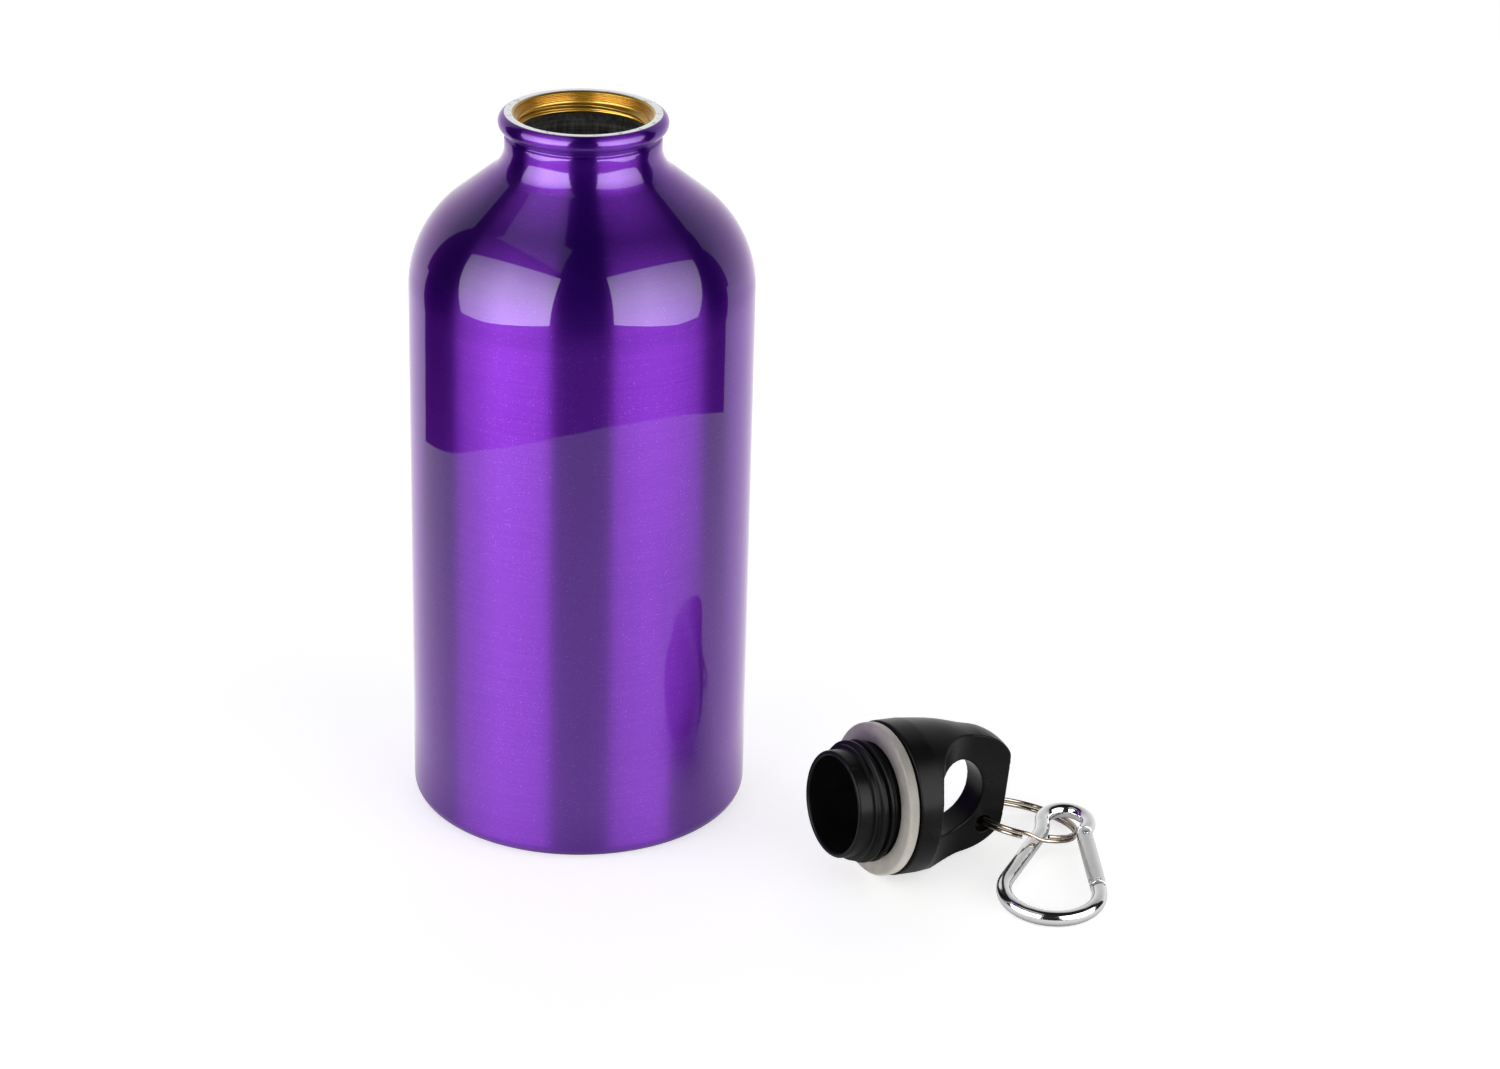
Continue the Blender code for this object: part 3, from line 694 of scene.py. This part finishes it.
def smooth_profile(points, between):
    """A rounded curve through the points, by Catmull-Rom."""
    made = []
    spots = [points[0]] + points + [points[-1]]
    for a, b, c, d in zip(spots, spots[1:], spots[2:], spots[3:]):
        for i in range(between):
            t = i / between
            made.append(tuple(0.5 * (2 * q + (r - p) * t + (2 * p - 5 * q + 4 * r - s) * t * t
                                     + (3 * q - p - 3 * r + s) * t ** 3)
                              for p, q, r, s in zip(a, b, c, d)))
    made.append(points[-1])
    return made


def make_lid_shell(place, paint):
    low = LID_BAND[0]
    lead, edge = LID_RIM_EDGE
    profile = [(0, LID_END)] + smooth_profile([(r * MM, z * MM) for r, z in LID_CROWN], 6)
    profile += [(LID_RADIUS, low + lead)]
    profile += arc((LID_RADIUS - edge, low + edge), edge, 0, -pi / 2, 5)
    profile += [(SOCKET_RADIUS, low), (SOCKET_RADIUS, SOCKET_DEPTH), (0, SOCKET_DEPTH)]
    shell = lathe("lid_shell_finish", profile, 160)
    face_outwards(shell)
    turn = Matrix.Rotation(pi / 2, 4, "X")
    here = Matrix.Identity(4)
    cutters = []
    for side in (1, -1):
        outline = [(side * x, z) for x, z in scoop_outline()]
        cutters.append(prism("scoop", outline, FAR, turn))
    cutters.append(rod("finger_hole", FINGER_HOLE_RADIUS, -FAR, FAR, across(here, *FINGER_HOLE), 96))
    cutters.append(rod("eyelet", EYELET_RADIUS, -FAR, FAR, across(here, *EYELET), 48))
    cut(shell, cutters)
    soften(shell, 0.20 * MM, 5)
    shell.data.transform(place)
    return finish(shell, paint)


def make_plug(place, paint):
    root, crest = PLUG_THREAD
    rim = (PLUG_RADIUS - PLUG_BORE) / 2
    middle = (PLUG_RADIUS + PLUG_BORE) / 2
    top = SOCKET_DEPTH - GAP
    rows = 64
    profile = [(0, top), (root, top)]
    first = len(profile)
    profile += [(root, PLUG_THREAD_HIGH + (PLUG_THREAD_LOW - PLUG_THREAD_HIGH) * i / rows)
                for i in range(rows + 1)]
    last = len(profile) - 1
    profile += [(root + r, PLUG_THREAD_LOW - z) for r, z in PLUG_STEPS]
    profile += [(PLUG_RADIUS + r, PLUG_THREAD_LOW - z) for r, z in PLUG_FOOT]
    profile += arc((middle, PLUG_TIP + rim), rim, 0, -pi, 16)
    profile += [(PLUG_BORE, PLUG_FLOOR - PLUG_FLOOR_EDGE), (PLUG_BORE - PLUG_FLOOR_EDGE, PLUG_FLOOR),
                (0, PLUG_FLOOR)]

    def thread(angle, row, radius, height):
        if not first <= row <= last:
            return mould_mark(angle, radius, height)
        fade = PITCH / 3
        ends = min(1.0, (height - PLUG_THREAD_LOW) / fade, (PLUG_THREAD_HIGH - height) / fade)
        return (crest - root) * max(0.0, ends) * thread_wave(height / PITCH - angle / tau)

    def mould_mark(angle, radius, height):
        """The nick that moulding leaves on the rim."""
        if height > PLUG_TIP + MOULD_MARK_LENGTH or radius < middle:
            return 0.0
        off = (angle - MOULD_MARK_TURN + pi) % tau - pi
        return -MOULD_MARK_DEPTH * max(0.0, 1 - abs(off) / MOULD_MARK_HALF)

    plug = lathe("threaded_plug_finish", profile, 220, place, thread)
    face_outwards(plug)
    return finish(plug, paint, radians(50))


def make_gasket(place, paint):
    inner, outer, thick = GASKET
    small, edge = GASKET_EDGES
    profile = arc((outer - edge, thick - edge), edge, pi / 2, 0, 10)
    profile += arc((outer - edge, edge), edge, 0, -pi / 2, 10)
    profile += arc((inner + small, small), small, -pi / 2, -pi, 5)
    profile += arc((inner + small, thick - small), small, pi, pi / 2, 5)
    gasket = lathe("lid_gasket_finish", profile, 160, place)
    face_outwards(gasket)
    return finish(gasket, paint)


# ---------------------------------------------------------------- split ring
def make_ring(paint):
    normal = Vector((sin(RING_LEAN[0]), sin(RING_LEAN[1]), 1)).normalized()
    left = normal.cross(Vector((0, 1, 0))).normalized()
    front = normal.cross(left)
    count = 420
    points = []
    for i in range(count + 1):
        turn = RING_START + RING_SWEEP * i / count
        past = max(-1.0, min(1.0, (turn - tau - RING_KINK) / RING_KINK_HALF))
        level = -RING_LAYER * sin(pi / 2 * past)
        flat = left * cos(turn) + front * sin(turn)
        points.append(RING_CENTRE + RING_RADIUS * flat + level * normal)
    ring = tube("split_ring_finish", points, RING_WIRE, 24, normal)
    face_outwards(ring)
    return finish(ring, paint, radians(60))


# ---------------------------------------------------------------- carabiner
def carabiner_place():
    lean = Matrix.Rotation(CARABINER_SLOPE, 4, "X")
    return Matrix.Translation(EYE_CENTRE) @ lean @ Matrix.Rotation(-CARABINER_TURN, 4, "Z")


def gate_place(place):
    along = Vector((GATE_TIP[0] - GATE_HINGE[0], GATE_HINGE[1] - GATE_TIP[1], 0)).normalized()
    turn = Matrix((Z_AXIS.cross(along), Z_AXIS, along)).transposed().to_4x4()
    return place @ Matrix.Translation((GATE_HINGE[0], -GATE_HINGE[1], 0)) @ turn


def resample(points, step):
    """Points at an even step along a path."""
    made = [points[0]]
    left = step
    for a, b in zip(points, points[1:]):
        length = (b - a).length
        while left <= length:
            made.append(a.lerp(b, left / length))
            left += step
        left -= length
    return made + [points[-1]]


def relaxed(points, passes):
    """The path with its corners smoothed and its ends kept."""
    for _ in range(passes):
        inner = [(a + 2 * b + c) / 4 for a, b, c in zip(points, points[1:], points[2:])]
        points = [points[0]] + inner + [points[-1]]
    return points


def rod_path(length):
    hinge = Vector(GATE_HINGE)
    along = (Vector(GATE_TIP) - hinge).normalized()
    points = [hinge + along * (length - LATCH_TONGUE), hinge + along * (length + GAP)]
    first = asin((GATE_TIP[1] - BIG_CENTRE) / BIG_RADIUS) + NOSE_LEAD
    last = pi - asin((BIG_SIDE[1] - BIG_CENTRE) / BIG_RADIUS)
    count = 96
    for i in range(count + 1):
        turn = first + (last - first) * i / count
        blend = max(0.0, 1 - 3 * i / count)
        radius = BIG_RADIUS + (NOSE_RADIUS - BIG_RADIUS) * blend
        points.append(Vector((radius * cos(turn), BIG_CENTRE + radius * sin(turn))))
    points.append(Vector(NECK_SIDE))
    start = pi - asin(EYE_SHOULDER / EYE_RADIUS)
    points += [Vector(p) for p in arc((0, 0), EYE_RADIUS, start, 3 * pi - start, 72)]
    points += [hinge - along * HINGE_SLOT_END, hinge, hinge + along * TONGUE_END]
    return relaxed(resample([Vector((p.x, -p.y, 0)) for p in points], ROD_STEP), 8)


def make_carabiner_body(place, gate, length, paint):
    body = tube("carabiner_body_finish", rod_path(length), ROD_RADIUS, 40, Z_AXIS, place)
    face_outwards(body)
    wide = 2 * GATE_RADIUS
    cutters = []
    for low in (TONGUE_HALF, -TONGUE_HALF - wide):
        for start, end in ((-HINGE_SLOT_END, wide), (length - wide, length + GAP)):
            cutters.append(block("flat", (-wide, low, start), (wide, low + wide, end), gate))
    pin = length - LATCH_PIN_BACK
    notch_high = (NOTCH_HALF, wide, pin + NOTCH_HALF)
    cutters.append(block("notch", (-wide, -wide, pin - NOTCH_HALF), notch_high, gate))
    cutters.append(cross_pin("hole", gate, 0, RIVET_RADIUS + PIN_FIT, wide))
    cut(body, cutters)
    soften(body, 0.10 * MM, 4)
    return finish(body, paint)


def cross_pin(name, gate, along, radius, half, sides=48):
    place = gate @ Matrix.Translation((0, 0, along)) @ Matrix.Rotation(pi / 2, 4, "X")
    return rod(name, radius, -half, half, place, sides)


def make_gate(gate, length, paint):
    half = GATE_SLOT_HALF
    wide = 2 * GATE_RADIUS
    bar = rod("carabiner_gate_finish", GATE_RADIUS, -wide, length - GATE_END_GAP, gate, 64)
    outline = [(x, -y) for x, y in arc((0, 0), GATE_RADIUS, pi, 0, 40)]
    outline += [(FAR, 0), (FAR, FAR), (-FAR, FAR), (-FAR, 0)]
    keep = prism("keep", outline, wide, gate @ Matrix.Rotation(pi / 2, 4, "X"))
    cut(bar, [keep], "INTERSECT")
    cutters = [block("slot", (-wide, -half, -wide), (wide, half, HINGE_SLOT_END), gate),
               block("slot", (-wide, -half, length - LATCH_SLOT), (wide, half, length + wide), gate),
               rod("bore", GATE_BORE, PLUNGER_TIP, GATE_BORE_END, gate),
               cross_pin("hole", gate, 0, RIVET_RADIUS + PIN_FIT, wide),
               cross_pin("hole", gate, length - LATCH_PIN_BACK, LATCH_PIN_RADIUS + PIN_FIT, wide)]
    cut(bar, cutters)
    soften(bar, 0.08 * MM, 3)
    return finish(bar, paint)


def make_rivet(gate, paint):
    radius, thick = RIVET_HEAD
    reach = GATE_RADIUS + PIN_FIT
    dome = [(radius * cos(a), reach + thick * (0.4 + 0.6 * sin(a)))
            for a in [pi / 2 * i / 10 for i in range(11)]]
    head = [(0, reach + thick)] + dome[::-1][1:] + [(radius, reach), (RIVET_RADIUS, reach)]
    profile = head + [(r, -z) for r, z in head[::-1]]
    rivet = lathe("gate_hinge_rivet_finish", profile, 40, gate @ Matrix.Rotation(pi / 2, 4, "X"))
    face_outwards(rivet)
    return finish(rivet, paint, radians(50))


def make_latch_pin(gate, length, paint):
    half = GATE_RADIUS - LATCH_PIN_SHORT
    edge = LATCH_PIN_EDGE
    r = LATCH_PIN_RADIUS
    profile = [(0, half), (r - edge, half), (r, half - edge)]
    profile += [(x, -z) for x, z in profile[::-1]]
    place = gate @ Matrix.Translation((0, 0, length - LATCH_PIN_BACK)) @ Matrix.Rotation(pi / 2, 4, "X")
    pin = lathe("gate_latch_pin_finish", profile, 32, place)
    face_outwards(pin)
    return finish(pin, paint, radians(40))


def make_plunger(gate, paint):
    nose = PLUNGER_NOSE
    flange, thick = PLUNGER_FLANGE
    seat = HINGE_SLOT_END + PLUNGER_SEAT
    top = seat + thick
    head = arc((0, PLUNGER_TIP + nose), nose, 0, -pi / 2, 12)
    profile = [(0, top), (flange, top), (flange, seat), (nose, seat)] + head[:-1] + [(0, PLUNGER_TIP)]
    plunger = lathe("gate_plunger_finish", profile, 40, gate)
    face_outwards(plunger)
    return finish(plunger, paint, radians(40))


def make_spring(gate, paint):
    low, high = SPRING_ENDS
    count = SPRING_TURNS * 36
    points = []
    for i in range(count + 1):
        turn = tau * SPRING_TURNS * i / count
        height = low + (high - low) * i / count
        points.append((SPRING_COIL * cos(turn), SPRING_COIL * sin(turn), height))
    spring = tube("gate_spring_finish", points, SPRING_WIRE, 14, Z_AXIS, gate)
    face_outwards(spring)
    return finish(spring, paint, radians(60))


# ---------------------------------------------------------------- studio
def direction(azimuth, elevation):
    """Unit vector; azimuth is counted from -Y towards +X."""
    a, e = radians(azimuth), radians(elevation)
    return Vector((sin(a) * cos(e), -cos(a) * cos(e), sin(e)))


def softbox(name, azimuth, elevation, roll, half_width, half_height, fade):
    """An area light that faces the shoulder of the bottle. Halves are per unit of distance.

    fade lists (share across the box, brightness) from its left edge to its right edge.
    """
    out = direction(azimuth, elevation)
    right = Vector((cos(radians(azimuth)), sin(radians(azimuth)), 0))
    up = right.cross(out)
    if up.z < 0:
        up = -up
    r = radians(roll)
    right, up = right * cos(r) + up * sin(r), up * cos(r) - right * sin(r)
    data = bpy.data.lights.new(name, "AREA")
    data.shape = "RECTANGLE"
    data.size = 2 * half_width * SOFTBOX_DISTANCE
    data.size_y = 2 * half_height * SOFTBOX_DISTANCE
    data.energy = SOFTBOX_RADIANCE * pi * data.size * data.size_y
    turn = Matrix((right, out.cross(right), out)).transposed().to_4x4()
    soft = data.copy()
    soft.energy = data.energy * FILL_SHARE
    for glossy, lamp in ((True, data), (False, soft)):
        light = bpy.data.objects.new(f"{name}_{'gloss' if glossy else 'fill'}", lamp)
        bpy.context.scene.collection.objects.link(light)
        light.matrix_world = Matrix.Translation(SOFTBOX_TARGET + out * SOFTBOX_DISTANCE) @ turn
        light.visible_camera = False
        light.visible_glossy = glossy
        light.visible_diffuse = not glossy
    data.use_nodes = True
    tree = data.node_tree
    spot = tree.nodes.new("ShaderNodeNewGeometry")
    split = tree.nodes.new("ShaderNodeSeparateXYZ")
    tree.links.new(spot.outputs["Parametric"], split.inputs[0])
    levels = []
    for axis, stops in (("X", fade), ("Y", SOFTBOX_RISE)):
        ramp = tree.nodes.new("ShaderNodeValToRGB")
        while len(ramp.color_ramp.elements) < len(stops):
            ramp.color_ramp.elements.new(0.5)
        for element, (share, level) in zip(ramp.color_ramp.elements, stops):
            element.position = share
            element.color = (level, level, level, 1)
        tree.links.new(split.outputs[axis], ramp.inputs["Fac"])
        levels.append(ramp.outputs["Color"])
    both = tree.nodes.new("ShaderNodeVectorMath")
    both.operation = "MULTIPLY"
    for level, socket in zip(levels, both.inputs):
        tree.links.new(level, socket)
    tree.links.new(both.outputs["Vector"], tree.nodes["Emission"].inputs["Color"])


def card(name, points, faces, radiance, glossy_only=True, rise=None):
    """A studio card that only reflections, or reflections and soft light, see.

    rise lists (height, brightness) from low to high and replaces the even brightness.
    """
    obj = mesh_object(name, points, faces)
    paint = Paint(name, (0, 0, 0), 1.0)
    paint.tree.nodes.remove(paint.shader)
    light = paint.node("ShaderNodeEmission")
    light.inputs["Color"].default_value = (radiance, radiance, radiance, 1)
    paint.link(light.outputs[0], paint.tree.nodes["Material Output"].inputs["Surface"])
    if rise:
        split = paint.node("ShaderNodeSeparateXYZ")
        paint.link(paint.place, split.inputs[0])
        (low, first), (high, last) = rise
        paint.link(paint.span(split.outputs["Z"], first, last, low, high), light.inputs["Strength"])
    obj.data.materials.append(paint.material)
    obj.visible_camera = False
    obj.visible_diffuse = not glossy_only
    obj.visible_shadow = False
    obj.visible_transmission = False


def make_dark_surround():
    """Dark floor beyond the white round table top, from one side round the front to the other."""
    start, end = SURROUND_TURNS
    count = 58
    near = []
    far = []
    for i in range(count + 1):
        out = direction(start + (end - start) * i / count, 0)
        near.append(TABLE_CENTRE + out * TABLE_RADIUS + Z_AXIS * SURROUND_LIFT)
        far.append(TABLE_CENTRE + out * SURROUND_REACH + Z_AXIS * SURROUND_LIFT)
    faces = [(i, i + 1, count + 2 + i, count + 1 + i) for i in range(count)]
    card("dark_surround", near + far, faces, 0.0)


def make_floor():
    """White table whose reflections have an even glow, with painted contact shade where something
    touches it.
    """
    half = FLOOR_HALF
    corners = [(-half, -half, 0), (half, -half, 0), (half, half, 0), (-half, half, 0)]
    floor = mesh_object("floor", corners, [(0, 1, 2, 3)])
    paint = Paint("white_table", FLOOR_COLOUR, 0.6)
    paint.set("Emission Color", (1, 1, 1, 1))
    reach = paint.node("ShaderNodeVectorMath", operation="LENGTH")
    paint.link(paint.place, reach.inputs[0])
    (near, first), (far, last) = FLOOR_RISE
    strength = paint.span(reach.outputs["Value"], first, last, near, far)
    paint.link(strength, paint.shader.inputs["Emission Strength"])
    reflected_glow = paint.node("ShaderNodeEmission")
    reflected_glow.inputs["Color"].default_value = (FLOOR_GLOW, FLOOR_GLOW, FLOOR_GLOW, 1)
    # painted contact shade: ambient occlusion dims the glow that reflections see near anything touching
    # the floor
    contact_shade = paint.node("ShaderNodeAmbientOcclusion", samples=4)
    contact_shade.inputs["Distance"].default_value = CONTACT_SHADE_REACH
    paint.link(contact_shade.outputs["AO"], reflected_glow.inputs["Strength"])
    path = paint.node("ShaderNodeLightPath")
    choose = paint.node("ShaderNodeMixShader")
    paint.link(path.outputs["Is Glossy Ray"], choose.inputs["Fac"])
    paint.link(paint.shader.outputs[0], choose.inputs[1])
    paint.link(reflected_glow.outputs[0], choose.inputs[2])
    paint.link(choose.outputs[0], paint.tree.nodes["Material Output"].inputs["Surface"])
    floor.data.materials.append(paint.material)


def make_world():
    """White behind everything; soft fill light; dark where only reflections look."""
    world = bpy.data.worlds.new("studio")
    bpy.context.scene.world = world
    world.use_nodes = True
    tree = world.node_tree
    tree.nodes.clear()
    path = tree.nodes.new("ShaderNodeLightPath")
    level = tree.nodes.new("ShaderNodeMapRange")
    level.inputs["To Min"].default_value = WORLD_FILL
    level.inputs["To Max"].default_value = WORLD_GLOSS
    tree.links.new(path.outputs["Is Glossy Ray"], level.inputs["Value"])
    total = tree.nodes.new("ShaderNodeMath")
    total.operation = "MAXIMUM"
    tree.links.new(level.outputs["Result"], total.inputs[0])
    tree.links.new(path.outputs["Is Camera Ray"], total.inputs[1])
    back = tree.nodes.new("ShaderNodeBackground")
    tree.links.new(total.outputs[0], back.inputs["Strength"])
    out = tree.nodes.new("ShaderNodeOutputWorld")
    tree.links.new(back.outputs[0], out.inputs["Surface"])


def make_studio():
    make_world()
    make_floor()
    make_dark_surround()
    softbox("softbox_left", -52.2, 19.2, 10.0, 0.666, 0.513, LEFT_FADE)
    softbox("softbox_right", 56.9, 19.1, -12.8, 0.621, 0.50, RIGHT_FADE)
    left, right = BACKDROP_SIDES
    low = 0.5 * MM
    back = [(left, BACKDROP_DEPTH, low), (right, BACKDROP_DEPTH, low),
            (right, BACKDROP_DEPTH, BACKDROP_TOP), (left, BACKDROP_DEPTH, BACKDROP_TOP)]
    card("white_backdrop", back, [(0, 1, 2, 3)], 1.0, glossy_only=False, rise=BACKDROP_RISE)
    (start, end), (low, high) = CEILING_TURNS, CEILING_RISES
    above = [direction(azimuth, elevation) * CEILING_DISTANCE + SOFTBOX_TARGET
             for azimuth, elevation in ((start, low), (end, low), (end, high), (start, high))]
    card("grey_ceiling", above, [(0, 1, 2, 3)], CEILING_GREY)
    bpy.context.scene.view_settings.view_transform = "Standard"
    bpy.context.scene.view_settings.look = "None"


# ---------------------------------------------------------------- assembly
def own(obj, body, node):
    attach(obj, body)
    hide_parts(node)


def main():
    make_camera()
    make_studio()
    black = black_plastic("black_plastic")
    steel = metal("bright_steel", (0.42, 0.42, 0.43), 0.26, 2400.0)
    nickel = metal("warm_nickel", (0.33, 0.275, 0.225), 0.17, 2600.0)
    polished = metal("polished_aluminium", (0.70, 0.70, 0.71), 0.10, 1500.0)
    satin = metal("satin_aluminium", (0.60, 0.60, 0.61), 0.33, 2200.0, 0.08)

    bottle = make_bottle([lacquer(), bare_lip(), gold(), dark_lining()])
    own(bottle, "bottle", "bottle_body")

    lid = lid_place()
    own(make_lid_shell(lid, black), "lid", "lid_shell")
    own(make_plug(lid, black_plastic("black_plug", 0.30)), "lid", "threaded_plug")
    own(make_gasket(lid, silicone()), "lid", "lid_gasket")
    own(make_ring(nickel), "ring", "split_ring")

    place = carabiner_place()
    gate = gate_place(place)
    length = hypot(GATE_TIP[0] - GATE_HINGE[0], GATE_TIP[1] - GATE_HINGE[1])
    body = make_carabiner_body(place, gate, length, polished)
    own(body, "carabiner", "carabiner_body")
    own(make_rivet(gate, steel), "carabiner", "gate_hinge_rivet")
    own(make_gate(gate, length, satin), "gate", "carabiner_gate")
    own(make_latch_pin(gate, length, steel), "gate", "gate_latch_pin")
    own(make_plunger(gate, steel), "gate", "gate_plunger")
    own(make_spring(gate, steel), "gate", "gate_spring")


main()
